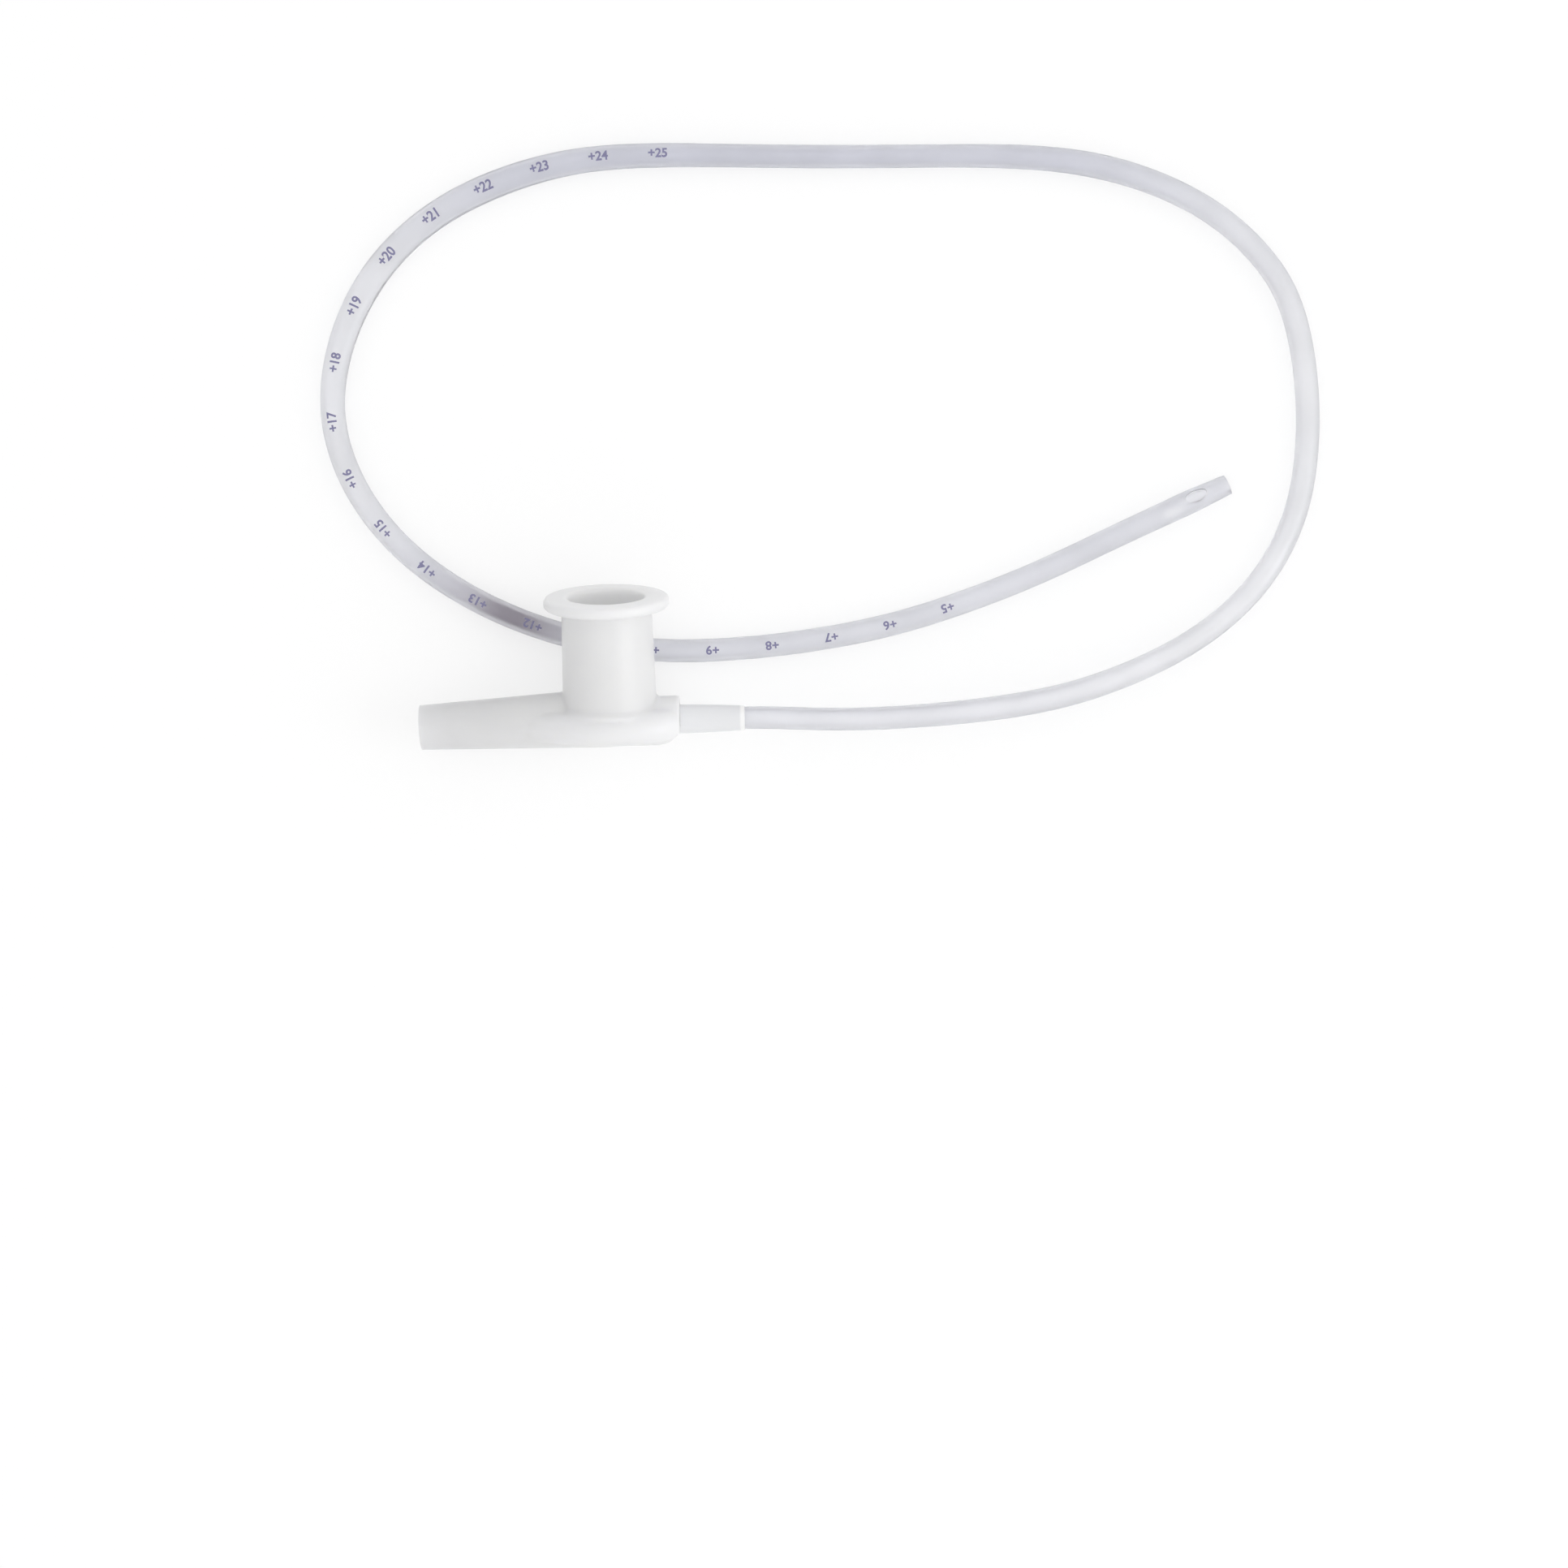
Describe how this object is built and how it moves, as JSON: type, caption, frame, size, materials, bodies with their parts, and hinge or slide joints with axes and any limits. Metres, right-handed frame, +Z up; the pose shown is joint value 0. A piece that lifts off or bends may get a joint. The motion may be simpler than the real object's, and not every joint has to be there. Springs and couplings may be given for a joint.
{
  "type": "suction catheter",
  "caption": "Loop of clear round tubing that ends in an open eyed tip, with a white moulded connector: a tapered arm and a flanged chimney that a thumb closes to steer suction.",
  "frame": {"origin": "on the floor, under the middle of the connector's box", "axes": "+X along the connector from its arm's mouth to its nipple, +Z up; the chimney points to +Y and a little up"},
  "size_m": [0.1675, 0.1011, 0.0241],
  "materials": {
    "connector_plastic": "milky translucent, satin",
    "tube_plastic": "clear, flexible, glossy"
  },
  "bodies": {
    "root": {"connector": "connector_plastic", "tube_cuff": "tube_plastic", "catheter_tube": "tube_plastic", "catheter_tip": "tube_plastic"}
  },
  "joints": []
}
